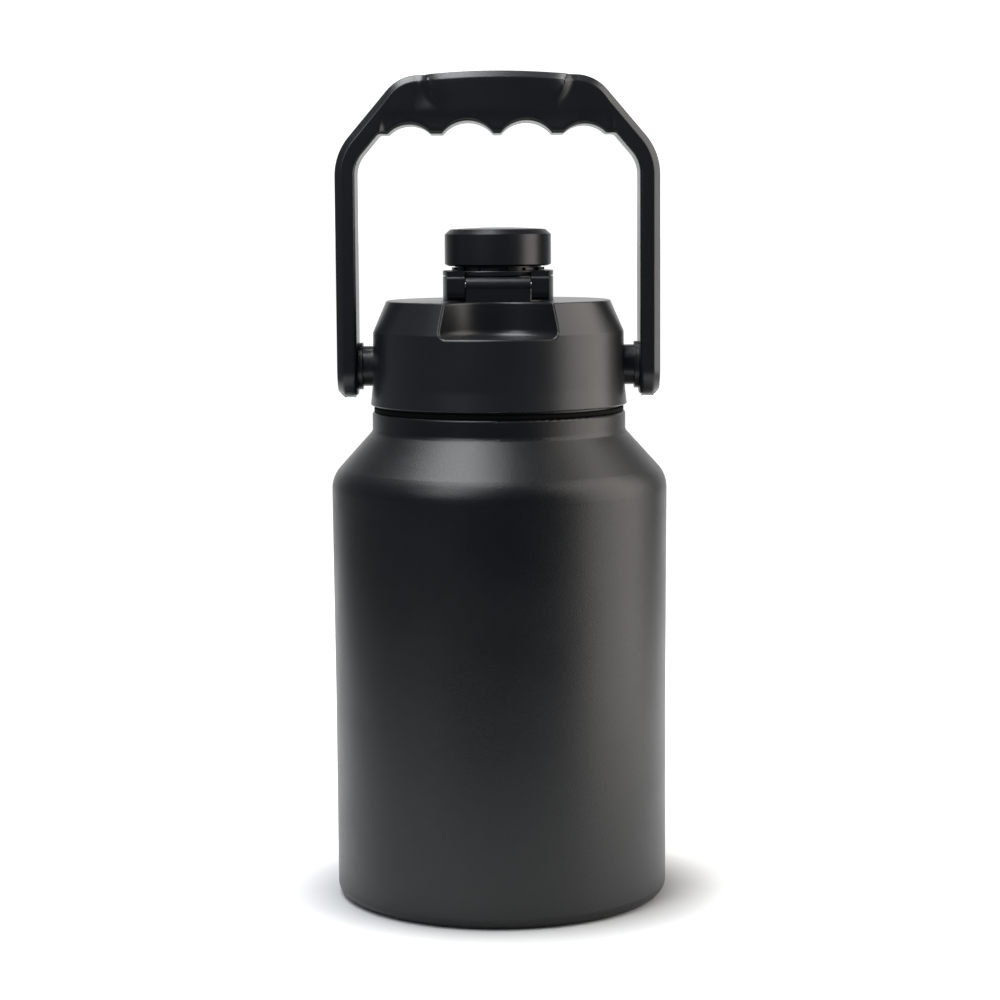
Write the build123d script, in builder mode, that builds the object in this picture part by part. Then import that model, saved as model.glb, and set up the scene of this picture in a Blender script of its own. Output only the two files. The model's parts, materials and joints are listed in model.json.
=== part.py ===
from build123d import *
from math import cos, radians, sin, tan
import os

# Large double-wall water jug with a screw lid, a swinging carry handle and a hinged screw cap on
# its spout. Millimetres. The origin is at the centre of the base, +Z is up, the cap's hinge is
# towards -Y and the handle's pivots lie on the X direction.

# ---- Steel body -------------------------------------------------------------------------------
STEEL = 0.6                # wall of both steel skins
BARREL_LOW_R = 64.5        # barrel, lower part
BARREL_TOP_R = 65.0        # barrel, just under the shoulder
BARREL_STRAIGHT_Z = 75.0   # the barrel is a true cylinder up to here
NECK_R = 49.0
RIM_Z = 188.9
SHOULDER_SLOPE = 42.15     # shoulder cone, degrees from the vertical
NECK_FOOT_Z = 181.6        # where the shoulder cone would meet the neck
SHOULDER_ROUND = 12.0
NECK_FOOT_ROUND = 2.5
RIM_ROUND = 0.9
FOOT_ROUND = 4.5
FOOT_LIP_R = 57.0          # inside of the foot ring, where the base plate sits
FOOT_LIP_ROUND = 1.2
BASE_PLATE_Z = 2.0
BASE_DISH_H = 1.2
BASE_DISH_R = 20.0
BASE_DISH_ROUND = 3.0
LINER_R = 61.3             # outside of the inner wall
LINER_NECK_R = 47.2
LINER_FLOOR_Z = 8.0
LINER_FLOOR_ROUND = 10.0
LINER_SHOULDER_ROUND = 9.0
VACUUM_GAP = 2.6           # across the shoulder
GETTER_R = 7.0
GETTER_H = 1.4
GETTER_ROUND = 0.45

# ---- Neck thread, right-handed ----------------------------------------------------------------
NECK_LEAD = 6.0            # rise in one turn
NECK_RIDGE_DEPTH = 1.1
NECK_RIDGE_ROOT = 2.0
NECK_RIDGE_CREST = 1.2
NECK_RIDGE_Z = 180.6       # middle of the body's ridge where it starts
NECK_RIDGE_TURNS = 1.05
PLUG_RIDGE_Z = 178.95      # middle of the plug's ridge where it starts, under the body's ridge
PLUG_RIDGE_TURNS = 1.1
PLUG_CREST_R = 46.1
RIDGE_EMBED = 0.3          # how far every thread ridge runs into its wall

# ---- Lid --------------------------------------------------------------------------------------
SKIRT_Z = 191.6
SKIRT_R = 49.6
WAIST_R = 48.8
WAIST_Z = 199.0
SIDE_R = 48.4
CONE_Z = 219.7
LID_TOP_R = 43.2
LID_TOP_Z = 231.7
LID_WALL = 2.2
SKIRT_ROUND = 0.5
WAIST_ROUND = 20.0
LID_ROUND = 0.8            # edges of the cone, the top and the nest
SKIRT_BORE_R = 47.2        # welded to the plug's flange
FLANGE_Z = 190.9
FLANGE_TOP_Z = 193.4
LID_BORE_R = 46.2
NEST_R = 23.0              # concave nest that takes the flipped cap
NEST_Y = -49.5
NEST_FLOOR_Z = 218.5
NEST_FLOOR_ROUND = 3.0     # between the nest's floor and its wall
PLUG_R = 44.0
PLUG_BORE_R = 41.8
PLUG_Z = 173.0
PLUG_FLOOR = 2.2
PLUG_SHOULDER_R = 45.3     # locates the gasket
PLUG_SHOULDER_Z = 187.6
FOAM_R = 41.6
FOAM_Z = 175.4
FOAM_TOP_Z = 214.0
FOAM_BORE_R = 15.7
GASKET_R = 48.3
GASKET_BORE_R = 45.5
GASKET_GAP = 0.05          # above and below the gasket
GASKET_ROUND = 0.4

# ---- Spout and its collar ---------------------------------------------------------------------
SPOUT_R = 14.0
SPOUT_BORE_R = 12.2
SPOUT_TOP_Z = 250.0
SPOUT_LIP_ROUND = 0.8
SPOUT_FLANGE_R = 18.0
COLLAR_R = 21.3
COLLAR_BORE_R = 20.1
COLLAR_TOP_Z = 240.9
COLLAR_GAP_Y = -11.5       # in front of this the collar is cut down for the cap's swing
COLLAR_GAP_Z = 236.4
CAP_LEAD = 10.0 / 3.0      # rise of the cap in one turn
SPOUT_CREST_R = 14.7
SPOUT_RIDGE_Z = 239.5
SPOUT_RIDGE_TURNS = 2.0
CAP_CREST_R = 15.75
CAP_RIDGE_Z = 239.3
CAP_RIDGE_TURNS = 1.6
CAP_RIDGE_ROOT = 1.2
CAP_RIDGE_CREST = 0.6

# ---- Cap hinge --------------------------------------------------------------------------------
HINGE_Y = -23.0
HINGE_Z = 237.9
HINGE_PIN_R = 1.25
HINGE_PIN_HALF = 19.0
HINGE_PIN_BEVEL = 0.25
HINGE_CLEARANCE = 0.05
BARREL_R = 3.0
BARREL_HALF = 12.1
POST_SETBACK = 0.3         # post behind the front of its barrel
POST_DEPTH = 10.5          # front to back, into the collar
KNUCKLE_IN = 12.6
KNUCKLE_OUT = 19.15
KNUCKLE_DEPTH = 6.8
KNUCKLE_LOW_ROUND = 3.39   # both lower corners, all but a half circle
KNUCKLE_LOW_Z = 232.3
KNUCKLE_TOP_Z = 241.3
KNUCKLE_TOP_ROUND = 1.2    # front upper corner
TAB_FRONT_Y = -21.5        # tabs that carry the knuckles, from here
TAB_BACK_Y = -11.5         # to here
RING_R = 21.3
RING_BORE_R = 17.0
RING_Z = 241.2
RING_TOP_Z = 243.2
RING_ROUND = 0.35

# ---- Cap --------------------------------------------------------------------------------------
CAP_R = 20.5
CAP_Z = 244.9
CAP_TOP_Z = 259.6
CAP_BEVEL_IN = 2.1
CAP_BEVEL_DOWN = 2.6
CAP_CROWN = 0.7            # rise of the top's middle
CAP_UNDERCUT = 0.65        # bevel under the cap's rim
CAP_BORE_R = 19.0
CAP_ROOF = 2.0
SHANK_R = 16.6             # runs through the ring
SHANK_BORE_R = 16.1
SHANK_Z = 237.0
BEAD_R = 17.7              # snap bead that keeps the cap in its ring
BEAD_H = 1.0
LUG_COUNT = 15
LUG_R = 17.9
LUG_Z = 243.4
LUG_H = 0.9
LUG_SPAN = 12.0            # degrees
CAP_LINER_TOP_Z = 254.0
CAP_LINER_FLOOR_Z = 252.2
SEAL_R = 15.2
SEAL_Z = 250.1
SEAL_H = 2.0
SEAL_ROUND = 0.4

# ---- Handle and pivots ------------------------------------------------------------------------
PIVOT_Z = 206.5
BOSS_R = 7.75
BOSS_FLANGE_R = 9.5
BOSS_FLANGE_X = 43.2
BOSS_SEAT_X = 45.0
BOSS_FACE_X = 52.4
JOURNAL_R = 4.0
JOURNAL_CLEARANCE = 0.06
JOURNAL_END_X = 58.5
WASHER_R = 9.05
WASHER_FACE_X = 54.15
SCREW_R = 1.5
SCREW_HEAD_R = 5.6
SCREW_HEAD_H = 1.8
SCREW_TIP_X = 47.5
SCREW_SOCKET_R = 1.7
PLUG_COVER_R = 6.3
PLUG_COVER_X = 60.7
ARM_IN_X = 54.25
ARM_OUT_X = 62.0
ARM_POCKET_X = 58.4
ARM_DEPTH = 24.0
ARM_BEVEL = 3.0
STRAP_SLOPE = 40.3         # slanted straps, degrees from the vertical
STRAP_THICK = 8.2
STRAP_CORNER_Z = 287.7     # where the slant would meet the arm's outer face
STRAP_TOP_Z = 317.1
STRAP_LOW_ROUND = 23.0
STRAP_HIGH_ROUND = 16.0
STRAP_IN_ROUND = 12.0
STRAP_END_ROUND = 2.0
CROWN_HALF = 25.5
CROWN_END_Z = 317.4
CROWN_TOP_Z = 318.5
GRIP_LOW_Z = 294.95        # lowest faces between the finger grooves
GRIP_END_X = 31.0
GRIP_DEPTH = 30.0
GRIP_BEVEL = 3.0
GRIP_LOW_HALF = 12.5       # half depth of the grip's lowest faces
GRIP_FACE_Z = 303.0        # the grip's front and back are upright above this
GROOVE_IN = (1.5, 20.9, 299.7)     # from x, to x, apex z
GROOVE_OUT = (25.3, 41.5, 298.4)


def save(part, name):
    """Label a finished piece and write it under its own name."""
    part.label = name
    export_step(part, f"parts/{name}.step")


def pivot_plane(side, x):
    """Plane across the handle's pivot axis, facing outwards, x from the jug's axis."""
    return Plane(origin=(side * x, 0, PIVOT_Z), x_dir=(0, 1, 0), z_dir=(side, 0, 0))


def is_nest_seam(edge):
    """True for the level arcs where the nest's floor round meets its floor and its wall."""
    if edge.geom_type != GeomType.CIRCLE:
        return False
    return edge.arc_center.Y < NEST_Y / 2 and edge.arc_center.Z < LID_TOP_Z - LID_ROUND


def thread_ridge(radius, depth, start_z, turns, lead, root, crest):
    """Helical ridge on a wall of this radius; a negative depth points to the axis."""
    embed = -RIDGE_EMBED if depth > 0 else RIDGE_EMBED
    with BuildPart() as ridge:
        with BuildLine() as path:
            coil = Helix(pitch=lead, height=turns * lead, radius=radius, center=(0, 0, start_z))
        across = Plane(origin=coil @ 0, x_dir=(1, 0, 0), z_dir=coil % 0)
        with BuildSketch(across):
            with BuildLine():
                Polyline((embed, -root / 2), (depth, -crest / 2), (depth, crest / 2),
                         (embed, root / 2), close=True)
            make_face()
        sweep(path=path.line, is_frenet=True)
    return ridge.part


os.makedirs("parts", exist_ok=True)

# ---- Outer shell: foot ring, barrel, shoulder, neck and turned-in rim ---------------------------
slope = tan(radians(SHOULDER_SLOPE))
shoulder_z = NECK_FOOT_Z - (BARREL_TOP_R - NECK_R) / slope

with BuildPart() as outer_shell:
    with BuildSketch(Plane.XZ):
        with BuildLine():
            FilletPolyline(
                (FOOT_LIP_R, BASE_PLATE_Z + STEEL),
                (FOOT_LIP_R, 0),
                (BARREL_LOW_R, 0),
                (BARREL_LOW_R, BARREL_STRAIGHT_Z),
                (BARREL_TOP_R, shoulder_z),
                (NECK_R, NECK_FOOT_Z),
                (NECK_R, RIM_Z),
                (LINER_NECK_R, RIM_Z),
                radius=[FOOT_LIP_ROUND, FOOT_ROUND, BARREL_TOP_R, SHOULDER_ROUND,
                        NECK_FOOT_ROUND, RIM_ROUND],
            )
            offset(amount=STEEL, side=Side.LEFT)
        make_face()
    revolve(axis=Axis.Z)
save(outer_shell.part, "outer_shell")

# ---- Inner liner with the neck thread -----------------------------------------------------------
inset = (STEEL + VACUUM_GAP) / cos(radians(SHOULDER_SLOPE))
liner_shoulder_z = NECK_FOOT_Z - (LINER_R - NECK_R + inset) / slope
liner_neck_z = NECK_FOOT_Z - (LINER_NECK_R - NECK_R + inset) / slope
neck_bore_r = LINER_NECK_R - STEEL
neck_thread = thread_ridge(neck_bore_r, -NECK_RIDGE_DEPTH, NECK_RIDGE_Z, NECK_RIDGE_TURNS,
                           NECK_LEAD, NECK_RIDGE_ROOT, NECK_RIDGE_CREST)

with BuildPart() as inner_liner:
    with BuildSketch(Plane.XZ):
        with BuildLine():
            FilletPolyline(
                (0, LINER_FLOOR_Z),
                (LINER_R, LINER_FLOOR_Z),
                (LINER_R, liner_shoulder_z),
                (LINER_NECK_R, liner_neck_z),
                (LINER_NECK_R, RIM_Z),
                radius=[LINER_FLOOR_ROUND, LINER_SHOULDER_ROUND, NECK_FOOT_ROUND],
            )
            offset(amount=STEEL, side=Side.LEFT)
        make_face()
    revolve(axis=Axis.Z)
    add(neck_thread)
save(inner_liner.part, "inner_liner")

# ---- Base plate and getter ----------------------------------------------------------------------
with BuildPart() as base_plate:
    with BuildSketch(Plane.XZ):
        with BuildLine():
            FilletPolyline(
                (0, BASE_PLATE_Z + BASE_DISH_H),
                (BASE_DISH_R, BASE_PLATE_Z + BASE_DISH_H),
                (BASE_DISH_R + 2 * BASE_DISH_H, BASE_PLATE_Z),
                (FOOT_LIP_R, BASE_PLATE_Z),
                radius=BASE_DISH_ROUND,
            )
            offset(amount=STEEL, side=Side.LEFT)
        make_face()
    revolve(axis=Axis.Z)
save(base_plate.part, "base_plate")

with BuildPart() as vacuum_getter:
    with BuildSketch(Plane.XY.offset(BASE_PLATE_Z + BASE_DISH_H + STEEL)):
        Circle(GETTER_R)
    extrude(amount=GETTER_H)
    fillet(vacuum_getter.edges().group_by(Axis.Z)[-1], radius=GETTER_ROUND)
save(vacuum_getter.part, "vacuum_getter")

# ---- Lid cover: cone-topped shell with the nest for the flipped cap -----------------------------
with BuildPart() as lid_hollow:
    with BuildSketch(Plane.XZ):
        with BuildLine():
            Polyline(
                (0, SKIRT_Z - LID_WALL),
                (SKIRT_BORE_R, SKIRT_Z - LID_WALL),
                (SKIRT_BORE_R, FLANGE_TOP_Z),
                (LID_BORE_R, FLANGE_TOP_Z),
                (LID_BORE_R, CONE_Z),
                (LID_TOP_R - LID_WALL / 2, LID_TOP_Z - LID_WALL),
                (0, LID_TOP_Z - LID_WALL),
                close=True,
            )
        make_face()
    revolve(axis=Axis.Z)
    with BuildSketch(Plane.XY.offset(NEST_FLOOR_Z - LID_WALL)):
        with Locations((0, NEST_Y)):
            Circle(NEST_R + LID_WALL)
    extrude(amount=LID_TOP_Z - NEST_FLOOR_Z + LID_WALL, mode=Mode.SUBTRACT)

with BuildPart() as nest:
    with BuildSketch(Plane.XY.offset(NEST_FLOOR_Z)):
        with Locations((0, NEST_Y)):
            Circle(NEST_R)
    extrude(amount=LID_TOP_Z)
    fillet(nest.edges().group_by(Axis.Z)[0], radius=NEST_FLOOR_ROUND)

with BuildPart() as lid_cover:
    with BuildSketch(Plane.XZ):
        with BuildLine():
            FilletPolyline(
                (0, SKIRT_Z),
                (SKIRT_R, SKIRT_Z),
                (WAIST_R, WAIST_Z),
                (SIDE_R, CONE_Z),
                radius=[SKIRT_ROUND, WAIST_ROUND],
            )
            Polyline((SIDE_R, CONE_Z), (LID_TOP_R, LID_TOP_Z), (0, LID_TOP_Z), (0, SKIRT_Z))
        make_face()
    revolve(axis=Axis.Z)
    add(nest.part, mode=Mode.SUBTRACT)
    nest_rim = lid_cover.edges(Select.LAST).filter_by(is_nest_seam, reverse=True)
    fillet(nest_rim, radius=LID_ROUND)
    add(lid_hollow.part, mode=Mode.SUBTRACT)
    with BuildSketch(Plane.XY.offset(LID_TOP_Z)):
        Circle(SPOUT_R)
    extrude(amount=-2 * LID_WALL, mode=Mode.SUBTRACT)
    with BuildSketch(Plane.YZ):
        with Locations((0, PIVOT_Z)):
            Circle(BOSS_R)
    extrude(amount=SKIRT_R, both=True, mode=Mode.SUBTRACT)
save(lid_cover.part, "lid_cover")

# ---- Lid liner: the threaded plug ---------------------------------------------------------------
plug_thread = thread_ridge(PLUG_R, PLUG_CREST_R - PLUG_R, PLUG_RIDGE_Z, PLUG_RIDGE_TURNS,
                           NECK_LEAD, NECK_RIDGE_ROOT, NECK_RIDGE_CREST)

with BuildPart() as lid_liner:
    with BuildSketch(Plane.XZ):
        with BuildLine():
            Polyline(
                (SPOUT_R, PLUG_Z),
                (PLUG_R, PLUG_Z),
                (PLUG_R, PLUG_SHOULDER_Z),
                (PLUG_SHOULDER_R, PLUG_SHOULDER_Z),
                (PLUG_SHOULDER_R, FLANGE_Z),
                (SKIRT_BORE_R, FLANGE_Z),
                (SKIRT_BORE_R, FLANGE_TOP_Z),
                (PLUG_BORE_R, FLANGE_TOP_Z),
                (PLUG_BORE_R, PLUG_Z + PLUG_FLOOR),
                (SPOUT_R, PLUG_Z + PLUG_FLOOR),
                close=True,
            )
        make_face()
    revolve(axis=Axis.Z)
    add(plug_thread)
save(lid_liner.part, "lid_liner")

with BuildPart() as lid_insulation:
    with BuildSketch(Plane.XY.offset(FOAM_Z)):
        Circle(FOAM_R)
        Circle(FOAM_BORE_R, mode=Mode.SUBTRACT)
    extrude(amount=FOAM_TOP_Z - FOAM_Z)
save(lid_insulation.part, "lid_insulation")

with BuildPart() as lid_gasket:
    with BuildSketch(Plane.XY.offset(RIM_Z + GASKET_GAP)):
        Circle(GASKET_R)
        Circle(GASKET_BORE_R, mode=Mode.SUBTRACT)
    extrude(amount=FLANGE_Z - RIM_Z - 2 * GASKET_GAP)
    fillet(lid_gasket.edges(), radius=GASKET_ROUND)
save(lid_gasket.part, "lid_gasket")

# ---- Spout --------------------------------------------------------------------------------------
spout_thread = thread_ridge(SPOUT_R, SPOUT_CREST_R - SPOUT_R, SPOUT_RIDGE_Z, SPOUT_RIDGE_TURNS,
                            CAP_LEAD, CAP_RIDGE_ROOT, CAP_RIDGE_CREST)
roof_z = LID_TOP_Z - LID_WALL

with BuildPart() as spout:
    with BuildSketch(Plane.XZ):
        with BuildLine():
            Polyline(
                (SPOUT_BORE_R, PLUG_Z),
                (SPOUT_R, PLUG_Z),
                (SPOUT_R, roof_z - LID_WALL),
                (SPOUT_FLANGE_R, roof_z - LID_WALL),
                (SPOUT_FLANGE_R, roof_z),
                (SPOUT_R, roof_z),
                (SPOUT_R, SPOUT_TOP_Z),
                (SPOUT_BORE_R, SPOUT_TOP_Z),
                close=True,
            )
        make_face()
    revolve(axis=Axis.Z)
    fillet(spout.edges().group_by(Axis.Z)[-1], radius=SPOUT_LIP_ROUND)
    add(spout_thread)
save(spout.part, "spout")

# ---- Spout collar with the hinge post and its barrel --------------------------------------------
with BuildPart() as spout_collar:
    with BuildSketch(Plane.XY.offset(LID_TOP_Z)):
        Circle(COLLAR_R)
    extrude(amount=COLLAR_TOP_Z - LID_TOP_Z)
    with BuildSketch(Plane.XY.offset(COLLAR_GAP_Z)):
        with Locations((0, COLLAR_GAP_Y)):
            Rectangle(2 * COLLAR_R, COLLAR_R, align=(Align.CENTER, Align.MAX))
    extrude(amount=COLLAR_TOP_Z - COLLAR_GAP_Z, mode=Mode.SUBTRACT)
    with BuildSketch(Plane.XY.offset(LID_TOP_Z)):
        with Locations((0, HINGE_Y - BARREL_R + POST_SETBACK)):
            Rectangle(2 * BARREL_HALF, POST_DEPTH, align=(Align.CENTER, Align.MIN))
    extrude(amount=COLLAR_GAP_Z - LID_TOP_Z)
    with BuildSketch(Plane.YZ):
        with Locations((HINGE_Y, HINGE_Z)):
            Circle(BARREL_R)
        with Locations((HINGE_Y + BARREL_R, LID_TOP_Z)):
            Rectangle(2 * BARREL_R - POST_SETBACK, HINGE_Z - LID_TOP_Z, align=(Align.MAX, Align.MIN))
    extrude(amount=BARREL_HALF, both=True)
    with BuildSketch(Plane.XY.offset(LID_TOP_Z)):
        Circle(COLLAR_BORE_R)
    extrude(amount=COLLAR_TOP_Z - LID_TOP_Z, mode=Mode.SUBTRACT)
    with BuildSketch(Plane.YZ):
        with Locations((HINGE_Y, HINGE_Z)):
            Circle(HINGE_PIN_R)
    extrude(amount=BARREL_HALF, both=True, mode=Mode.SUBTRACT)
save(spout_collar.part, "spout_collar")

with BuildPart() as hinge_pin:
    with BuildSketch(Plane.YZ):
        with Locations((HINGE_Y, HINGE_Z)):
            Circle(HINGE_PIN_R)
    extrude(amount=HINGE_PIN_HALF, both=True)
    chamfer(hinge_pin.edges().group_by(Axis.X)[0], length=HINGE_PIN_BEVEL)
    chamfer(hinge_pin.edges().group_by(Axis.X)[-1], length=HINGE_PIN_BEVEL)
save(hinge_pin.part, "hinge_pin")

# ---- Cap ring: the lip, two tabs and the outer knuckles -----------------------------------------
knuckle_w = KNUCKLE_OUT - KNUCKLE_IN
knuckle_h = KNUCKLE_TOP_Z - KNUCKLE_LOW_Z

with BuildPart() as cap_ring:
    with BuildSketch(Plane.XY.offset(RING_Z)):
        Circle(RING_R)
    extrude(amount=RING_TOP_Z - RING_Z)
    fillet(cap_ring.edges(), radius=RING_ROUND)
    with BuildSketch(Plane.XY.offset(RING_Z)):
        with Locations((-KNUCKLE_IN, TAB_FRONT_Y), (KNUCKLE_OUT, TAB_FRONT_Y)):
            Rectangle(knuckle_w, TAB_BACK_Y - TAB_FRONT_Y, align=(Align.MAX, Align.MIN))
    extrude(amount=RING_TOP_Z - RING_Z)
    for near_x in (-KNUCKLE_OUT, KNUCKLE_IN):
        with BuildSketch(Plane.YZ.offset(near_x)) as knuckle:
            with Locations((HINGE_Y, KNUCKLE_LOW_Z)):
                Rectangle(KNUCKLE_DEPTH, knuckle_h, align=(Align.CENTER, Align.MIN))
            fillet(knuckle.vertices().group_by(Axis.Y)[0], radius=KNUCKLE_LOW_ROUND)
            fillet(knuckle.vertices().group_by(Axis.Y)[-1].sort_by(Axis.X)[0],
                   radius=KNUCKLE_TOP_ROUND)
        extrude(amount=knuckle_w)
    with BuildSketch(Plane.XY.offset(RING_Z)):
        Circle(RING_BORE_R)
    extrude(amount=RING_TOP_Z - RING_Z, mode=Mode.SUBTRACT)
    with BuildSketch(Plane.YZ):
        with Locations((HINGE_Y, HINGE_Z)):
            Circle(HINGE_PIN_R + HINGE_CLEARANCE)
    extrude(amount=KNUCKLE_OUT, both=True, mode=Mode.SUBTRACT)
save(cap_ring.part, "cap_ring")

# ---- Cap: outer shell, threaded liner with lugs and snap bead, seal disc --------------------------
crown_r = CAP_R - CAP_BEVEL_IN

with BuildPart() as cap_shell:
    with BuildSketch(Plane.XZ):
        with BuildLine():
            Polyline(
                (0, CAP_TOP_Z - CAP_ROOF),
                (CAP_BORE_R, CAP_TOP_Z - CAP_ROOF),
                (CAP_BORE_R, CAP_Z),
                (CAP_R, CAP_Z + CAP_UNDERCUT),
                (CAP_R, CAP_TOP_Z - CAP_BEVEL_DOWN),
                (crown_r, CAP_TOP_Z - CAP_CROWN),
            )
            Spline((crown_r, CAP_TOP_Z - CAP_CROWN), (0, CAP_TOP_Z),
                   tangents=((-crown_r, 2 * CAP_CROWN), (-1, 0)))
            Line((0, CAP_TOP_Z), (0, CAP_TOP_Z - CAP_ROOF))
        make_face()
    revolve(axis=Axis.Z)
save(cap_shell.part, "cap_shell")

cap_thread = thread_ridge(SHANK_BORE_R, CAP_CREST_R - SHANK_BORE_R, CAP_RIDGE_Z, CAP_RIDGE_TURNS,
                          CAP_LEAD, CAP_RIDGE_ROOT, CAP_RIDGE_CREST)
bead_slope = BEAD_R - SHANK_R

with BuildPart() as cap_liner:
    with BuildSketch(Plane.XZ):
        with BuildLine():
            Polyline(
                (SHANK_BORE_R, SHANK_Z),
                (SHANK_R, SHANK_Z),
                (BEAD_R, SHANK_Z + bead_slope / 2),
                (BEAD_R, SHANK_Z + BEAD_H),
                (SHANK_R, SHANK_Z + BEAD_H),
                (SHANK_R, CAP_Z),
                (CAP_BORE_R, CAP_Z),
                (CAP_BORE_R, CAP_LINER_TOP_Z),
                (0, CAP_LINER_TOP_Z),
                (0, CAP_LINER_FLOOR_Z),
                (SHANK_BORE_R, CAP_LINER_FLOOR_Z),
                close=True,
            )
        make_face()
    revolve(axis=Axis.Z)
    lug_half = LUG_R * tan(radians(LUG_SPAN / 2))
    with BuildSketch(Plane.XY.offset(LUG_Z)):
        with PolarLocations(0, LUG_COUNT):
            Polygon((SHANK_BORE_R, -lug_half), (LUG_R, -lug_half), (LUG_R, lug_half),
                    (SHANK_BORE_R, lug_half), align=None)
        Circle(LUG_R, mode=Mode.INTERSECT)
        Circle((SHANK_R + SHANK_BORE_R) / 2, mode=Mode.SUBTRACT)
    extrude(amount=LUG_H)
    add(cap_thread)
save(cap_liner.part, "cap_liner")

with BuildPart() as cap_seal:
    with BuildSketch(Plane.XY.offset(SEAL_Z)):
        Circle(SEAL_R)
    extrude(amount=SEAL_H)
    fillet(cap_seal.edges(), radius=SEAL_ROUND)
save(cap_seal.part, "cap_seal")

# ---- Handle: arms, slanted straps and the grip with finger grooves --------------------------------
lean = radians(STRAP_SLOPE)
arm_half = ARM_DEPTH / 2
grip_half = GRIP_DEPTH / 2
arm_foot_z = PIVOT_Z - arm_half
strap_end_x = ARM_OUT_X - (STRAP_TOP_Z - STRAP_CORNER_Z) * tan(lean)
inner_corner_z = STRAP_CORNER_Z + (ARM_OUT_X - ARM_IN_X) / tan(lean) - STRAP_THICK / sin(lean)
inner_end_x = ARM_IN_X - (GRIP_LOW_Z - inner_corner_z) * tan(lean)

# The grip is fuller than the straps in the middle: a lens in plan, with bevels above and below.
with BuildPart() as grip:
    with BuildSketch(Plane.XY.offset(GRIP_LOW_Z)):
        with BuildLine():
            ThreePointArc((-GRIP_END_X, -arm_half), (0, -grip_half), (GRIP_END_X, -arm_half))
            Line((GRIP_END_X, -arm_half), (GRIP_END_X, arm_half))
            ThreePointArc((GRIP_END_X, arm_half), (0, grip_half), (-GRIP_END_X, arm_half))
            Line((-GRIP_END_X, arm_half), (-GRIP_END_X, -arm_half))
        make_face()
    extrude(amount=CROWN_TOP_Z - GRIP_LOW_Z)
    with BuildSketch(Plane.XZ):
        with BuildLine():
            Polyline((-CROWN_HALF, CROWN_END_Z), (-CROWN_HALF, GRIP_LOW_Z), (CROWN_HALF, GRIP_LOW_Z),
                     (CROWN_HALF, CROWN_END_Z))
            ThreePointArc((-CROWN_HALF, CROWN_END_Z), (0, CROWN_TOP_Z), (CROWN_HALF, CROWN_END_Z))
        make_face()
    extrude(amount=grip_half, both=True, mode=Mode.INTERSECT)
    crown_edges = grip.faces().sort_by(Axis.Z)[-1].edges()
    chamfer(crown_edges.filter_by(Axis.Y, reverse=True), length=GRIP_BEVEL)
    with BuildSketch(Plane.YZ):
        with BuildLine():
            Polyline(
                (-GRIP_LOW_HALF, GRIP_LOW_Z),
                (-grip_half, GRIP_FACE_Z),
                (-grip_half, CROWN_TOP_Z),
                (grip_half, CROWN_TOP_Z),
                (grip_half, GRIP_FACE_Z),
                (GRIP_LOW_HALF, GRIP_LOW_Z),
                close=True,
            )
        make_face()
    extrude(amount=CROWN_HALF, both=True, mode=Mode.INTERSECT)

with BuildPart() as finger_grooves:
    with BuildSketch(Plane.XZ):
        for near_x, far_x, apex_z in (GROOVE_IN, GROOVE_OUT):
            with BuildLine():
                Line((near_x, GRIP_LOW_Z), (far_x, GRIP_LOW_Z))
                ThreePointArc((near_x, GRIP_LOW_Z), ((near_x + far_x) / 2, apex_z), (far_x, GRIP_LOW_Z))
            make_face()
        mirror(about=Plane.YZ)
    extrude(amount=grip_half, both=True)

with BuildPart() as hand_gap:
    with BuildSketch(Plane.XZ):
        with BuildLine():
            FilletPolyline(
                (0, GRIP_LOW_Z),
                (inner_end_x, GRIP_LOW_Z),
                (ARM_IN_X, inner_corner_z),
                (ARM_IN_X, arm_foot_z),
                radius=[STRAP_END_ROUND, STRAP_IN_ROUND],
            )
            Polyline((ARM_IN_X, arm_foot_z), (0, arm_foot_z), (0, GRIP_LOW_Z))
        make_face()
        mirror(about=Plane.YZ)
    extrude(amount=arm_half, both=True)

with BuildPart() as handle:
    with BuildSketch(Plane.XZ):
        with BuildLine():
            FilletPolyline(
                (ARM_OUT_X, arm_foot_z),
                (ARM_OUT_X, STRAP_CORNER_Z),
                (strap_end_x, STRAP_TOP_Z),
                (0, STRAP_TOP_Z),
                radius=[STRAP_LOW_ROUND, STRAP_HIGH_ROUND],
            )
            Polyline((0, STRAP_TOP_Z), (0, arm_foot_z), (ARM_OUT_X, arm_foot_z))
        make_face()
        mirror(about=Plane.YZ)
    extrude(amount=arm_half, both=True)
    with BuildSketch(Plane.YZ):
        with Locations((0, PIVOT_Z)):
            Circle(arm_half)
            Rectangle(ARM_DEPTH, CROWN_TOP_Z - PIVOT_Z, align=(Align.CENTER, Align.MIN))
    extrude(amount=ARM_OUT_X, both=True, mode=Mode.INTERSECT)
    rims = handle.edges().filter_by(lambda edge: edge.bounding_box().max.Z > PIVOT_Z)
    rims = rims.filter_by(Axis.Y, reverse=True)
    foot_arcs = handle.edges().filter_by(GeomType.CIRCLE).group_by(Axis.Z)[0]
    chamfer(rims + foot_arcs, length=ARM_BEVEL)
    add(hand_gap.part, mode=Mode.SUBTRACT)
    add(grip.part)
    add(finger_grooves.part, mode=Mode.SUBTRACT)
    for side in (-1, 1):
        with BuildSketch(pivot_plane(side, ARM_IN_X)):
            Circle(JOURNAL_R + JOURNAL_CLEARANCE)
        extrude(amount=ARM_POCKET_X - ARM_IN_X, mode=Mode.SUBTRACT)
        with BuildSketch(pivot_plane(side, ARM_POCKET_X)):
            Circle(PLUG_COVER_R)
        extrude(amount=ARM_OUT_X - ARM_POCKET_X, mode=Mode.SUBTRACT)
save(handle.part, "handle")

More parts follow.
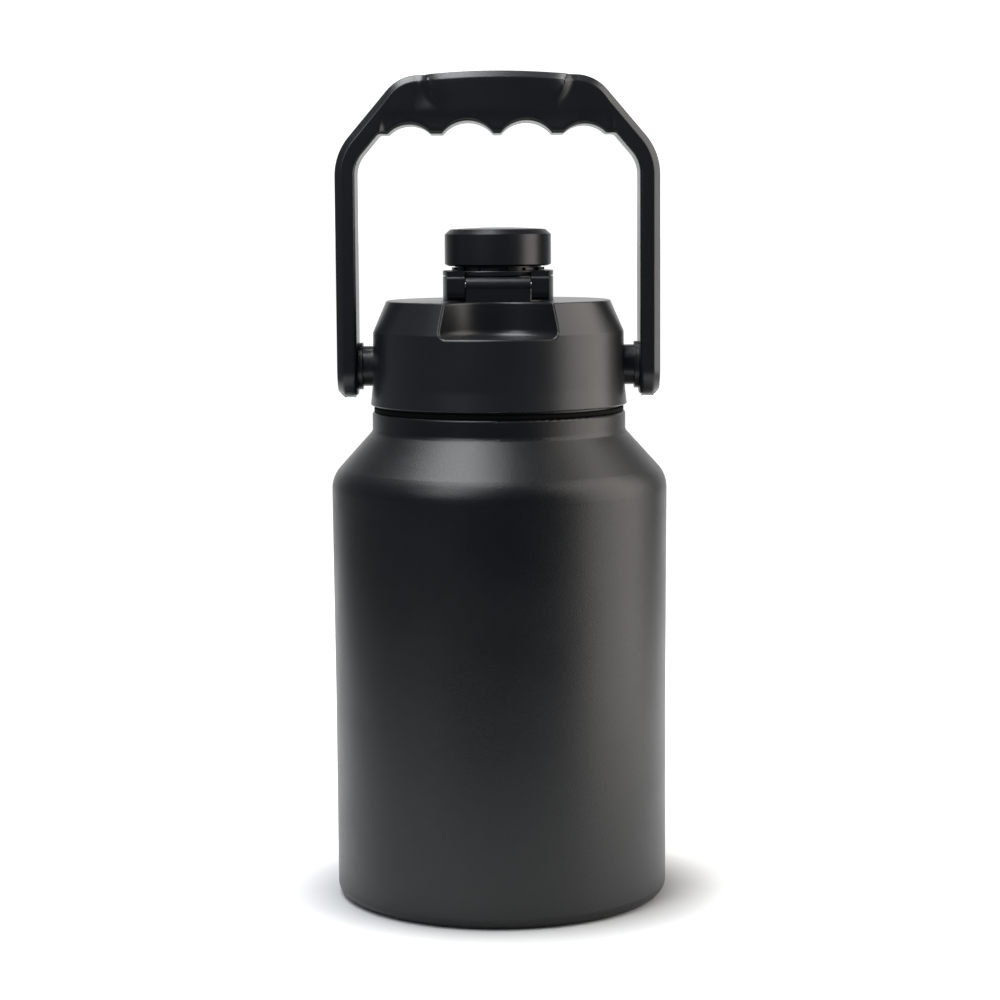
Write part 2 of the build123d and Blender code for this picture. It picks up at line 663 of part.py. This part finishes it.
# ---- Pivots: trunnion, washer, screw and cover plug on each side ------------------------------------
for side, name in ((-1, "left"), (1, "right")):
    with BuildPart() as trunnion:
        with BuildSketch(pivot_plane(side, BOSS_FLANGE_X)):
            Circle(BOSS_FLANGE_R)
        extrude(amount=BOSS_SEAT_X - BOSS_FLANGE_X)
        with BuildSketch(pivot_plane(side, BOSS_SEAT_X)):
            Circle(BOSS_R)
        extrude(amount=BOSS_FACE_X - BOSS_SEAT_X)
        with BuildSketch(pivot_plane(side, BOSS_FACE_X)):
            Circle(JOURNAL_R)
        extrude(amount=JOURNAL_END_X - BOSS_FACE_X)
        with BuildSketch(pivot_plane(side, SCREW_TIP_X)):
            Circle(SCREW_R)
        extrude(amount=JOURNAL_END_X - SCREW_TIP_X, mode=Mode.SUBTRACT)
    save(trunnion.part, f"trunnion_{name}")

    with BuildPart() as washer:
        with BuildSketch(pivot_plane(side, BOSS_FACE_X)):
            Circle(WASHER_R)
            Circle(JOURNAL_R, mode=Mode.SUBTRACT)
        extrude(amount=WASHER_FACE_X - BOSS_FACE_X)
    save(washer.part, f"pivot_washer_{name}")

    with BuildPart() as screw:
        with BuildSketch(pivot_plane(side, SCREW_TIP_X)):
            Circle(SCREW_R)
        extrude(amount=JOURNAL_END_X - SCREW_TIP_X)
        with BuildSketch(pivot_plane(side, JOURNAL_END_X)):
            Circle(SCREW_HEAD_R)
        extrude(amount=SCREW_HEAD_H)
        with BuildSketch(pivot_plane(side, JOURNAL_END_X + SCREW_HEAD_H)):
            RegularPolygon(SCREW_SOCKET_R, 6)
        extrude(amount=-SCREW_HEAD_H / 2, mode=Mode.SUBTRACT)
    save(screw.part, f"pivot_screw_{name}")

    with BuildPart() as cover_plug:
        with BuildSketch(pivot_plane(side, PLUG_COVER_X)):
            Circle(PLUG_COVER_R)
        extrude(amount=ARM_OUT_X - PLUG_COVER_X)
    save(cover_plug.part, f"pivot_plug_{name}")
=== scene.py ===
import json
import math

import bmesh
import bpy
from mathutils import Matrix, Vector


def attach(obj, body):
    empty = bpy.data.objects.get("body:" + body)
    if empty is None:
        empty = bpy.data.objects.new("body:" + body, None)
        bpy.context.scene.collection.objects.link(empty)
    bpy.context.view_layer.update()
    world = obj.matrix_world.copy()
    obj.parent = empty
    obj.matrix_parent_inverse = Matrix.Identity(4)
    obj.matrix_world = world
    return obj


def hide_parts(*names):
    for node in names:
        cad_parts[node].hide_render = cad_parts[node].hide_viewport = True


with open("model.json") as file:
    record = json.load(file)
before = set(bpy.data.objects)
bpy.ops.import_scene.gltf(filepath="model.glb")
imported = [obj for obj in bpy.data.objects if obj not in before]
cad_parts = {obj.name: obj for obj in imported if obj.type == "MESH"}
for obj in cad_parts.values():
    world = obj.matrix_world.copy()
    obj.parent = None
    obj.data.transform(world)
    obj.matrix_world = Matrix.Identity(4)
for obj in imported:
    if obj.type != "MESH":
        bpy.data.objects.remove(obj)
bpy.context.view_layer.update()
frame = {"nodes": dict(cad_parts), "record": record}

# Large water jug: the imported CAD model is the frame, in metres, +Z up, its front towards -Y.
MM = 0.001

CAMERA_PLACE = (0.00018, -0.9682, 0.26229)
CAMERA_DOWN = 6.386         # degrees below the horizon
CAMERA_ROLL = -0.392        # degrees
LENS = 90.0                 # millimetres, on a sensor of this width
SENSOR = 36.0

WHITE = 1.2                 # a little over white, so that the backdrop is never grey
# Colours of the room by depth, from 0 behind the camera to 1 behind the jug
ROOM = ((0.0, (0.05, 0.062, 0.09)), (0.25, (0.055, 0.068, 0.095)), (0.5, (0.13, 0.145, 0.165)),
        (0.88, (0.19, 0.20, 0.21)), (0.975, (WHITE, WHITE, WHITE)))
# Name, place, aim, size, brightness against white and colour of each light
SOFTBOXES = (
    ("top_left", (-0.42, -0.05, 1.45), (-0.42, -0.05, 0), (0.68, 1.3), 9.5, (0.95, 0.98, 1.0)),
    ("front_left", (-0.64, -0.84, 0.90), (0, 0, 0.17), (0.5, 0.6), 6.0, (0.93, 0.97, 1.0)),
    ("side_right", (1.2, -0.08, 0.66), (0, 0, 0.3), (1.4, 1.9), 3.4, (1.0, 0.94, 0.87)),
)
# The table is narrow under the jug and widens to a far horizon
TABLE_CORNERS = ((-0.3, -0.29, 0), (0.36, -0.29, 0), (7.0, 30.0, 0), (-7.0, 30.0, 0))
TABLE_TINTS = ((0.40, 0.40, 0.40), (0.44, 0.44, 0.44))
MOTTLE_SCALE = 60.0
# Painted light on the table, by distance from the jug's axis: no glow at its foot, which is a painted
# contact shadow, then quick to rise for 2 cm, which paints over the jug's cast shadow
TABLE_PAINTED_LIGHT = ((0.062, 0.0), (0.088, 0.62), (0.5, 0.95))

# Finish of each material slot: dark and light end of the base colour, roughness, size of the grain
# and its relief in metres, and what differs from a plain painted or moulded surface
FINISHES = {
    "powder_coat": ((0.001, 0.0013, 0.002), (0.003, 0.0034, 0.0044), 0.36, 0.4 * MM, 0.07 * MM, {}),
    "steel": ((0.50, 0.50, 0.49), (0.60, 0.60, 0.59), 0.28, 0.4 * MM, 0.004 * MM, {"metallic": 1.0}),
    "getter": ((0.10, 0.095, 0.09), (0.2, 0.19, 0.18), 0.8, 0.3 * MM, 0.03 * MM, {}),
    "black_plastic": ((0.006, 0.0065, 0.008), (0.011, 0.0115, 0.013), 0.33, 0.3 * MM, 0.022 * MM, {}),
    "inner_plastic": ((0.012, 0.012, 0.012), (0.018, 0.018, 0.018), 0.35, 0.3 * MM, 0.004 * MM, {}),
    "foam": ((0.62, 0.60, 0.55), (0.78, 0.76, 0.70), 0.9, 0.6 * MM, 0.1 * MM, {}),
    # seal: black silicone, made darker and duller than its own colour as painted shade for the gap at the
    # neck, which is a recess
    "seal": ((0.001, 0.001, 0.001), (0.002, 0.002, 0.002), 0.75, 0.3 * MM, 0.004 * MM,
             {"specular": 0.08}),
}
DRIFT_SCALE = 35.0          # slow changes of roughness, per metre
DRIFT_ENDS = (0.3, 0.7)     # range of the noise that carries them
DRIFT_SPREAD = 0.06         # roughness between its two ends
SHARP_ANGLE = math.radians(32)


# ---- Camera and studio --------------------------------------------------------------------------
def add_camera():
    """Eye level with the cap, about a metre in front, tilted down a little."""
    data = bpy.data.cameras.new("camera")
    data.lens = LENS
    data.sensor_width = SENSOR
    camera = bpy.data.objects.new("camera", data)
    tilt = Matrix.Rotation(math.radians(90.0 - CAMERA_DOWN), 4, "X")
    roll = Matrix.Rotation(math.radians(CAMERA_ROLL), 4, "Z")
    camera.matrix_world = Matrix.Translation(CAMERA_PLACE) @ tilt @ roll
    bpy.context.scene.collection.objects.link(camera)
    bpy.context.scene.camera = camera


def add_softbox(name, place, aim, size, glow, colour):
    """Rectangular area light at a place, turned to a point; glow is its brightness against white."""
    data = bpy.data.lights.new(name, "AREA")
    data.shape = "RECTANGLE"
    data.size, data.size_y = size
    data.energy = glow * math.pi * size[0] * size[1]
    data.color = colour
    light = bpy.data.objects.new(name, data)
    light.location = place
    light.rotation_euler = (Vector(aim) - Vector(place)).to_track_quat("-Z", "Y").to_euler()
    bpy.context.scene.collection.objects.link(light)


def set_stops(ramp, stops):
    """Give a new colour ramp these stops, each a position and a colour."""
    for _ in stops[2:]:
        ramp.elements.new(0.5)
    for element, (position, colour) in zip(ramp.elements, stops):
        element.position = position
        element.color = (*colour, 1)


def add_world():
    """Dim bluish room, darkest behind the camera, with a white backdrop behind the jug.

    The jug reflects and is lit by this room, while the camera sees plain white on every side.
    """
    world = bpy.data.worlds.new("studio")
    bpy.context.scene.world = world
    world.use_nodes = True
    nodes, links = world.node_tree.nodes, world.node_tree.links
    background = nodes["Background"]
    place = nodes.new("ShaderNodeTexCoord")
    parts = nodes.new("ShaderNodeSeparateXYZ")
    depth = nodes.new("ShaderNodeMapRange")
    depth.inputs["From Min"].default_value = -1.0
    ramp = nodes.new("ShaderNodeValToRGB")
    set_stops(ramp.color_ramp, ROOM)
    links.new(place.outputs["Generated"], parts.inputs[0])
    links.new(parts.outputs["Y"], depth.inputs["Value"])
    links.new(depth.outputs["Result"], ramp.inputs["Fac"])
    path = nodes.new("ShaderNodeLightPath")
    shown = nodes.new("ShaderNodeMix")
    shown.data_type = "RGBA"
    shown.inputs["B"].default_value = (WHITE, WHITE, WHITE, 1)
    links.new(path.outputs["Is Camera Ray"], shown.inputs["Factor"])
    links.new(ramp.outputs["Color"], shown.inputs["A"])
    links.new(shown.outputs["Result"], background.inputs["Color"])


def add_floor():
    """Plain table with painted light: it glows away from the jug, which leaves a painted contact shadow at
    its foot and paints over the jug's cast shadow, so that it runs out into the white backdrop.
    """
    mesh = bpy.data.meshes.new("floor")
    floor = bpy.data.objects.new("floor", mesh)
    bpy.context.scene.collection.objects.link(floor)
    mesh.from_pydata(TABLE_CORNERS, [], [(0, 1, 2, 3)])
    mesh.materials.append(painted_light_table_finish())


# ---- Finishes -----------------------------------------------------------------------------------
def new_finish(name):
    """Node material, with its nodes, links, shader and object coordinates."""
    material = bpy.data.materials.new(name)
    material.use_nodes = True
    nodes, links = material.node_tree.nodes, material.node_tree.links
    place = nodes.new("ShaderNodeTexCoord").outputs["Object"]
    return material, nodes, links, nodes["Principled BSDF"], place


def add_noise(nodes, links, place, scale, detail=2.0):
    """Noise over the object, about this many grains to the metre."""
    noise = nodes.new("ShaderNodeTexNoise")
    noise.inputs["Scale"].default_value = scale
    noise.inputs["Detail"].default_value = detail
    links.new(place, noise.inputs["Vector"])
    return noise.outputs["Fac"]


def add_tint(nodes, links, shader, noise, dark, light):
    """Base colour that follows the noise between two ends."""
    tint = nodes.new("ShaderNodeMix")
    tint.data_type = "RGBA"
    tint.inputs["A"].default_value = (*dark, 1)
    tint.inputs["B"].default_value = (*light, 1)
    links.new(noise, tint.inputs["Factor"])
    links.new(tint.outputs["Result"], shader.inputs["Base Color"])


def painted_light_table_finish():
    """Matte sheet with a faint mottle; its glow is painted light, which starts at the jug's foot and grows
    outwards, so that it paints a contact shadow at the foot and paints over the jug's cast shadow.
    """
    material, nodes, links, shader, place = new_finish("table")
    mottle = add_noise(nodes, links, place, MOTTLE_SCALE)
    add_tint(nodes, links, shader, mottle, *TABLE_TINTS)
    shader.inputs["Roughness"].default_value = 0.9
    shader.inputs["Specular IOR Level"].default_value = 0.1

    distance = nodes.new("ShaderNodeVectorMath")
    distance.operation = "LENGTH"
    links.new(place, distance.inputs[0])
    # Painted light: emission that is dark at the jug's foot as a painted contact shadow and rises outwards
    # to paint over the jug's cast shadow
    glow = nodes.new("ShaderNodeValToRGB")
    set_stops(glow.color_ramp, [(reach, (bright, bright, bright)) for reach, bright in TABLE_PAINTED_LIGHT])
    links.new(distance.outputs["Value"], glow.inputs["Fac"])
    shader.inputs["Emission Color"].default_value = (1, 1, 1, 1)
    links.new(glow.outputs["Color"], shader.inputs["Emission Strength"])
    return material


def grained_finish(name, dark, light, roughness, grain, height, metallic=0.0, specular=0.45):
    """Fine grain as bump and tint, with a slow drift of roughness, as FINISHES describes."""
    material, nodes, links, shader, place = new_finish(name)
    shader.inputs["Metallic"].default_value = metallic
    shader.inputs["Specular IOR Level"].default_value = specular
    drift = add_noise(nodes, links, place, DRIFT_SCALE, detail=3.0)
    fine = add_noise(nodes, links, place, 1.0 / grain)
    add_tint(nodes, links, shader, fine, dark, light)

    gloss = nodes.new("ShaderNodeMapRange")
    gloss.inputs["From Min"].default_value = DRIFT_ENDS[0]
    gloss.inputs["From Max"].default_value = DRIFT_ENDS[1]
    gloss.inputs["To Min"].default_value = roughness - DRIFT_SPREAD / 2
    gloss.inputs["To Max"].default_value = roughness + DRIFT_SPREAD / 2
    links.new(drift, gloss.inputs["Value"])
    links.new(gloss.outputs["Result"], shader.inputs["Roughness"])

    bump = nodes.new("ShaderNodeBump")
    bump.inputs["Strength"].default_value = 1.0
    bump.inputs["Distance"].default_value = height
    links.new(fine, bump.inputs["Height"])
    links.new(bump.outputs["Normal"], shader.inputs["Normal"])
    return material


def make_finishes():
    """One finish for each of the record's material slots."""
    return {slot: grained_finish(slot, *looks, **extras) for slot, (*looks, extras) in FINISHES.items()}


def dress_cad_nodes(finishes):
    """Every CAD node wears the finish of its own slot."""
    for entry in frame["record"]["subparts"]:
        node = frame["nodes"][entry["node"]]
        node.data.materials.clear()
        node.data.materials.append(finishes[entry["material_slot"]])


# ---- Handle moulding ----------------------------------------------------------------------------
# Lengths in millimetres; x runs outwards from the jug's axis, z up, y front to back.
PIVOT_Z = 206.5
ARM_IN = 54.25
ARM_OUT = 62.0
HALF_DEPTH = 12.0
BEVEL = 2.4                 # outer edges of the arms and straps
INNER_ROUND = 1.3           # inner edges
CORNER = 0.4                # softness of every bevel's edge
STRAP_SLOPE = math.tan(math.radians(40.3))
STRAP_CORNER = (ARM_OUT, 287.7)
STRAP_TOP = 317.1
STRAP_WIDTH = 8.2           # across the sloping strap
STRAP_ROUNDS = (16.0, 23.0)     # outer rounds at the strap's upper and lower end
INNER_ROUNDS = (1.5, 12.0)      # inner rounds at the strap's upper and lower end
CROWN_TOP = 318.49
CROWN_DROP = 1.1            # from the middle of the crown to its ends
CROWN_HALF = 25.5
CROWN_STEP = 1.5            # the crown drops to the strap within this length
GRIP_LOW = 294.95
GRIP_BULGE = 3.0            # extra half depth in the middle of the grip
GRIP_REACH = 31.0           # half width of that bulge
GRIP_END = 43.0             # half width of the grip's sloping underside
GRIP_FADE = 3.0             # the grip's own section fades over this length there
LEAN_PAST = 2.0             # its lean reaches this much further
UNDERCUT_TOP = 303.5        # the front leans back below this
UNDERCUT = 2.6              # how far
UNDERCUT_POWER = 1.25       # above 1, so that the lean grows downwards
GROOVES = ((1.5, 20.9, 299.7), (25.3, 41.5, 298.4))     # from x, to x, apex z
GROOVE_LAND = 0.2           # flat of the underside past the last groove
UNDER_ROUND = 1.7           # round edges of the grip's underside
FLARE = 2.2                 # lips at the crown's ends stand this far proud of the bulge
FLARE_IN = 3.5              # they fade over this length towards the middle
FLARE_OUT = 4.8             # and drop to the strap within this length
FLARE_RISE = (303.5, 314.0)     # they grow to their full height between these heights
FLARE_CUT = (303.5, 311.0)      # and cut the bulge off between these
LIP_X = 22.6                # where a lip stands, low down
LIP_LEAN = 3.6              # it stands this much further out at the top
LIP_HEIGHTS = (303.0, 317.0)
JOURNAL_R = 4.06            # bore for the trunnion
POCKET_R = 6.45             # recess for the cover plug in the arm's outer face
POCKET_X = 58.4             # its floor
BORE_REACH = 1.0            # the cutters stand this far out of the arm
BORE_OVERLAP = 0.5          # and the bore's cutter this far into the pocket
# Points that face each other on the outer and on the inner outline, from the grip to the pivot
KEYS_OUT = ((0, CROWN_TOP), (20.9, 317.8), (27.0, STRAP_TOP), (29.7, STRAP_TOP), (41.9, 311.5),
            (56.5, 294.1), (ARM_OUT, 279.3), (ARM_OUT, PIVOT_Z))
KEYS_IN = ((0, GRIP_LOW), (20.9, GRIP_LOW), (28.0, 297.0), (33.4, 298.4), (43.3, GRIP_LOW),
           (51.4, 287.5), (ARM_IN, 279.8), (ARM_IN, PIVOT_Z))
STATION = 0.6               # length of mesh faces along the handle
EDGE_STEPS, ROUND_STEPS, FACE_STEPS = 3, 5, 12      # mesh faces across it
END_STEPS = 20              # mesh faces round the arm's end
LEAST_SQUARE = 0.45         # sections are never taken as more skew than this sine
MERGE = 0.002 * MM          # in metres; points nearer than this become one
SLIVER = 0.001 * MM         # in metres; edges shorter than this are dissolved


def chain_with_rounds(corners, radii, count=16):
    """Corner points in the x-z plane joined by straight lines, with a round at each inner corner."""
    corners = [Vector(corner) for corner in corners]
    chain = [corners[0]]
    for before, corner, after, radius in zip(corners, corners[1:], corners[2:], radii):
        back, ahead = (before - corner).normalized(), (after - corner).normalized()
        half = back.angle(ahead) / 2
        centre = corner + (back + ahead).normalized() * radius / math.sin(half)
        first = corner + back * radius / math.tan(half) - centre
        last = corner + ahead * radius / math.tan(half) - centre
        for step in range(count + 1):
            mixed = first.lerp(last, step / count)
            chain.append(centre + mixed.normalized() * radius)
    chain.append(corners[-1])
    return chain


def groove_arc(near, far, apex, count=24):
    """Points of one finger groove, an arc through its two ends and its apex."""
    half, rise = (far - near) / 2, apex - GRIP_LOW
    radius = (half * half + rise * rise) / (2 * rise)
    reach = math.asin(half / radius)
    middle = Vector(((near + far) / 2, apex - radius))
    turns = [reach * (2 * step / count - 1) for step in range(count + 1)]
    return [middle + Vector((math.sin(turn), math.cos(turn))) * radius for turn in turns]


def cut_chain(chain, marks):
    """The chain in pieces, cut at the points nearest to the marks."""
    places = [min(range(len(chain)), key=lambda place: (chain[place] - Vector(mark)).length)
              for mark in marks]
    return [chain[start:end + 1] for start, end in zip(places, places[1:])]


def spread(chain, count):
    """count points evenly spaced along a chain, from its start, without its end."""
    lengths = [0.0]
    for before, after in zip(chain, chain[1:]):
        lengths.append(lengths[-1] + (after - before).length)
    points = []
    place = 0
    for step in range(count):
        wanted = lengths[-1] * step / count
        while lengths[place + 1] <= wanted:
            place += 1
        share = (wanted - lengths[place]) / (lengths[place + 1] - lengths[place])
        points.append(chain[place].lerp(chain[place + 1], share))
    return points


def smooth(value, low, high):
    """0 up to low, 1 from high on, and an S between them."""
    share = min(max((value - low) / (high - low), 0.0), 1.0)
    return share * share * (3 - 2 * share)


def handle_outlines():
    """Matching outer and inner points from the middle of the grip to the pivot's height."""
    strap_end = ARM_OUT - (STRAP_TOP - STRAP_CORNER[1]) * STRAP_SLOPE
    crown = [Vector((x, CROWN_TOP - CROWN_DROP * (x / CROWN_HALF) ** 2))
             for x in range(int(CROWN_HALF) + 1)]
    outer = crown + chain_with_rounds(
        [(CROWN_HALF + CROWN_STEP, STRAP_TOP), (strap_end, STRAP_TOP), STRAP_CORNER, (ARM_OUT, PIVOT_Z)],
        STRAP_ROUNDS)
    thick = STRAP_WIDTH / math.sin(math.atan(STRAP_SLOPE))
    inner_corner = STRAP_CORNER[1] + (ARM_OUT - ARM_IN) / STRAP_SLOPE - thick
    inner_end = ARM_IN - (GRIP_LOW - inner_corner) * STRAP_SLOPE
    inner = [Vector((0, GRIP_LOW))]
    for groove in GROOVES:
        inner += groove_arc(*groove)
    inner += chain_with_rounds(
        [(GROOVES[1][1] + GROOVE_LAND, GRIP_LOW), (inner_end, GRIP_LOW), (ARM_IN, inner_corner),
         (ARM_IN, PIVOT_Z)], INNER_ROUNDS)
    outs, ins = [], []
    for piece_out, piece_in in zip(cut_chain(outer, KEYS_OUT), cut_chain(inner, KEYS_IN)):
        length = max((piece_out[-1] - piece_out[0]).length, (piece_in[-1] - piece_in[0]).length)
        count = max(2, round(length / STATION))
        outs += spread(piece_out, count)
        ins += spread(piece_in, count)
    return outs, ins


def half_depth(x, z):
    """Half the handle's depth at a point of its front view, away from its bevels."""
    bulge = GRIP_BULGE * max(0.0, 1 - (x / GRIP_REACH) ** 2)
    lean = smooth(GRIP_END + LEAN_PAST - x, 0, GRIP_FADE) * UNDERCUT
    undercut = lean * max(0.0, (UNDERCUT_TOP - z) / (UNDERCUT_TOP - GRIP_LOW)) ** UNDERCUT_POWER
    lip_x = LIP_X + LIP_LEAN * smooth(z, *LIP_HEIGHTS)
    rise = FLARE * smooth(z, *FLARE_RISE)
    if x < lip_x:
        flare = rise * math.exp((x - lip_x) / FLARE_IN)
    else:
        step = bulge + rise
        fall = max(0.0, 1 - (x - lip_x) / FLARE_OUT) ** 2
        flare = (step * fall - bulge) * smooth(z, *FLARE_CUT)
    return HALF_DEPTH + bulge + flare - undercut


def soft_ramp(value):
    """value where positive, 0 where negative, rounded within CORNER of 0."""
    if abs(value) >= CORNER:
        return max(value, 0.0)
    return (value + CORNER) ** 2 / (4 * CORNER)


def handle_ring(outer, inner, bevel_run, round_run, drop):
    """Front half of one cross-section, as (point in the x-z plane, y) from the inner face outwards.

    bevel_run and round_run are the widths of the outer bevel and the inner round along the section,
    and drop is how far below the pivot it lies, where the arm's end is round seen from the side.
    """
    across = inner - outer
    width = across.length
    across.normalize()
    grip = smooth(GRIP_END - inner.x, 0, GRIP_FADE)
    end_run = round_run + (UNDER_ROUND - round_run) * grip
    end_depth = INNER_ROUND + (UNDER_ROUND - INNER_ROUND) * grip

    def place(run, depth):
        point = outer + across * run
        if drop:
            depth = math.sqrt(max(depth * depth - drop * drop, 0.0))
        return point, depth

    def depth_at(run):
        point = outer + across * run
        return half_depth(point.x, point.y) - BEVEL * soft_ramp(bevel_run - run) / bevel_run

    start = width - end_run
    edge = depth_at(start)
    flat = edge - end_depth
    ring = [place(width, flat * step / EDGE_STEPS) for step in range(EDGE_STEPS + 1)]
    for step in range(1, ROUND_STEPS + 1):
        turn = math.radians(90 * step / ROUND_STEPS)
        ring.append(place(width - end_run * (1 - math.cos(turn)), flat + end_depth * math.sin(turn)))
    for step in range(1, FACE_STEPS + 1):
        run = start + (bevel_run + CORNER - start) * step / FACE_STEPS
        ring.append(place(run, depth_at(run)))
    for run in (bevel_run + CORNER / 2, bevel_run, bevel_run - CORNER / 2, bevel_run - CORNER,
                bevel_run / 2, CORNER):
        ring.append(place(run, depth_at(run)))
    rim = depth_at(CORNER)
    ring += [place(CORNER / 4, rim - 0.9 * CORNER), place(0, rim - 2 * CORNER), place(0, rim / 2),
             place(0, 0)]
    return ring


def skew_run(points, place, across, width):
    """Width along a section of a band that is this wide square to the outline."""
    before, after = points[max(place - 1, 0)], points[min(place + 1, len(points) - 1)]
    along = (after - before).normalized()
    square = abs(along.x * across.y - along.y * across.x)
    return width / max(square, LEAST_SQUARE)


def handle_rings():
    """Cross-sections of the right half, from the middle of the grip to the arm's end."""
    outs, ins = handle_outlines()
    rings = []
    for place, (outer, inner) in enumerate(zip(outs, ins)):
        across = (inner - outer).normalized()
        bevel_run = skew_run(outs, place, across, BEVEL)
        round_run = skew_run(ins, place, across, INNER_ROUND)
        rings.append(handle_ring(outer, inner, bevel_run, round_run, 0.0))
    for step in range(END_STEPS + 1):
        drop = HALF_DEPTH * math.sin(math.radians(90 * step / END_STEPS))
        z = PIVOT_Z - drop
        outer = Vector((ARM_OUT - max(0.0, drop - HALF_DEPTH + BEVEL), z))
        inner = Vector((ARM_IN + max(0.0, drop - HALF_DEPTH + INNER_ROUND), z))
        bevel_run = max(BEVEL - (ARM_OUT - outer.x), 2 * CORNER)
        rings.append(handle_ring(outer, inner, bevel_run, INNER_ROUND, drop))
    return rings


def bored(mesh, cutters):
    """The mesh with closed cutter meshes taken out of it."""
    collection = bpy.context.scene.collection
    body = bpy.data.objects.new("body", mesh)
    collection.objects.link(body)
    tools = []
    for cutter in cutters:
        tool = bpy.data.objects.new("tool", cutter)
        collection.objects.link(tool)
        tools.append(tool)
        cut = body.modifiers.new("cut", "BOOLEAN")
        cut.operation = "DIFFERENCE"
        cut.solver = "EXACT"
        cut.object = tool
    graph = bpy.context.evaluated_depsgraph_get()
    result = bpy.data.meshes.new_from_object(body.evaluated_get(graph))
    for used in [body] + tools:
        bpy.data.objects.remove(used)
    return result


def bore(radius, start, end, count=96):
    """Closed cylinder along x at the pivot's height, as a mesh, in metres."""
    verts, faces = [], []
    for x in (start, end):
        for step in range(count):
            turn = 2 * math.pi * step / count
            verts.append(Vector((x, radius * math.cos(turn), PIVOT_Z + radius * math.sin(turn))) * MM)
    for step in range(count):
        after = (step + 1) % count
        faces.append((step, after, after + count, step + count))
    faces.append(tuple(range(count))[::-1])
    faces.append(tuple(range(count, 2 * count)))
    mesh = bpy.data.meshes.new("bore")
    mesh.from_pydata(verts, [], faces)
    tidy_mesh(mesh)
    return mesh


def tidy_mesh(mesh):
    """Merge coincident points, drop empty faces and turn all normals outwards."""
    work = bmesh.new()
    work.from_mesh(mesh)
    bmesh.ops.remove_doubles(work, verts=work.verts, dist=MERGE)
    bmesh.ops.dissolve_degenerate(work, edges=work.edges, dist=SLIVER)
    bmesh.ops.recalc_face_normals(work, faces=work.faces)
    work.to_mesh(mesh)
    work.free()


def handle_mesh():
    """Closed skin of the whole handle with its two pivot bores and pockets."""
    half = handle_rings()
    sections = [[(-point.x, point.y, y) for point, y in ring] for ring in reversed(half[1:])]
    sections += [[(point.x, point.y, y) for point, y in ring] for ring in half]
    verts, faces = [], []
    for section in sections:
        loop = [(x, -y, z) for x, z, y in section]
        loop += [(x, y, z) for x, z, y in reversed(section[1:-1])]
        verts += [Vector(point) * MM for point in loop]
    size = 2 * len(half[0]) - 2
    for row in range(len(sections) - 1):
        for step in range(size):
            after = (step + 1) % size
            low, high = row * size, (row + 1) * size
            faces.append((low + step, low + after, high + after, high + step))
    mesh = bpy.data.meshes.new("handle_moulding")
    mesh.from_pydata(verts, [], faces)
    tidy_mesh(mesh)
    cutters = []
    for side in (-1, 1):
        cutters.append(bore(JOURNAL_R, side * (ARM_IN - BORE_REACH), side * (POCKET_X + BORE_OVERLAP)))
        cutters.append(bore(POCKET_R, side * POCKET_X, side * (ARM_OUT + BORE_REACH)))
    return bored(mesh, cutters)


def add_piece(name, mesh, finish, slot, body, *nodes):
    """Show a detailed mesh in place of CAD nodes and let it move with their body."""
    piece = bpy.data.objects.new(name, mesh)
    bpy.context.scene.collection.objects.link(piece)
    mesh.materials.clear()
    mesh.materials.append(finish)
    mesh.shade_smooth()
    mesh.set_sharp_from_angle(angle=SHARP_ANGLE)
    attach(piece, body)
    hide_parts(*nodes)
    return piece


# ---- The scene ----------------------------------------------------------------------------------
bpy.context.scene.view_settings.view_transform = "Standard"
add_camera()
add_world()
add_floor()
for softbox in SOFTBOXES:
    add_softbox(*softbox)
finishes = make_finishes()
dress_cad_nodes(finishes)
add_piece("handle_moulding", handle_mesh(), finishes["black_plastic"], "black_plastic", "handle", "handle")
